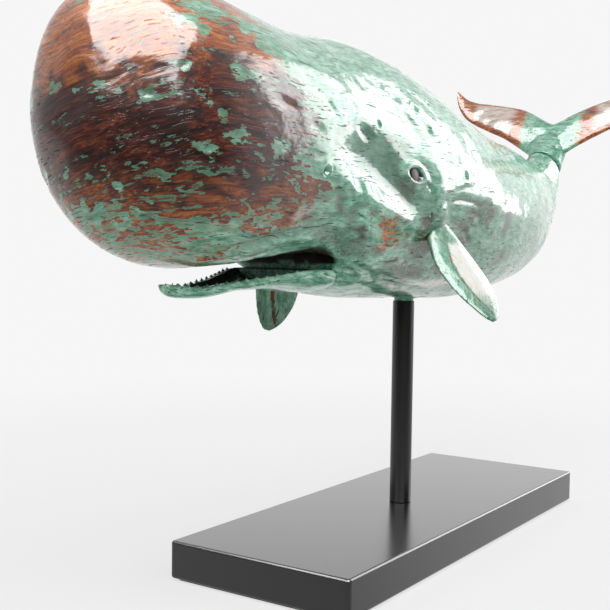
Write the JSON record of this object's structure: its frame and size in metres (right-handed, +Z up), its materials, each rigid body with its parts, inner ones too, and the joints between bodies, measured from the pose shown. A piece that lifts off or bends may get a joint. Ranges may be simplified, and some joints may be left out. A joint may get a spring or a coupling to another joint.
{
  "type": "whale figurine on a stand",
  "caption": "Cast sperm whale ornament with an open toothed jaw, pectoral fins and raised flukes, carried by one round post on a black rectangular plinth.",
  "frame": {"origin": "centre of the stand's underside, on the post's axis, on the surface that it rests on", "axes": "+X from the whale's head to its tail, along the plinth's long side; +Z up; -Y is the whale's left side"},
  "size_m": [0.5758, 0.204, 0.3395],
  "materials": {
    "patina_casting": "cast resin, brown and verdigris patina under a clear gloss varnish",
    "patina_jaw": "cast resin, verdigris patina under a clear gloss varnish",
    "patina_fin": "cast resin, pale verdigris patina under a clear gloss varnish",
    "patina_fluke": "cast resin, brown patina rubbed pale under a clear gloss varnish",
    "eye": "dark, high gloss",
    "insert_brass": "turned",
    "zinc_steel": "zinc plated",
    "post_enamel": "black satin enamel on steel",
    "plinth_lacquer": "black satin lacquer on fibreboard",
    "felt": "black felt"
  },
  "bodies": {
    "root": {"whale_body": "patina_casting", "lower_jaw": "patina_jaw", "left_pectoral_fin": "patina_fin", "right_pectoral_fin": "patina_fin", "tail_flukes": "patina_fluke", "left_eye": "eye", "right_eye": "eye", "threaded_insert": "insert_brass", "threaded_stud": "zinc_steel", "support_post": "post_enamel", "base_plate": "plinth_lacquer", "base_screw": "zinc_steel", "base_washer": "zinc_steel", "base_felt": "felt"}
  },
  "joints": []
}
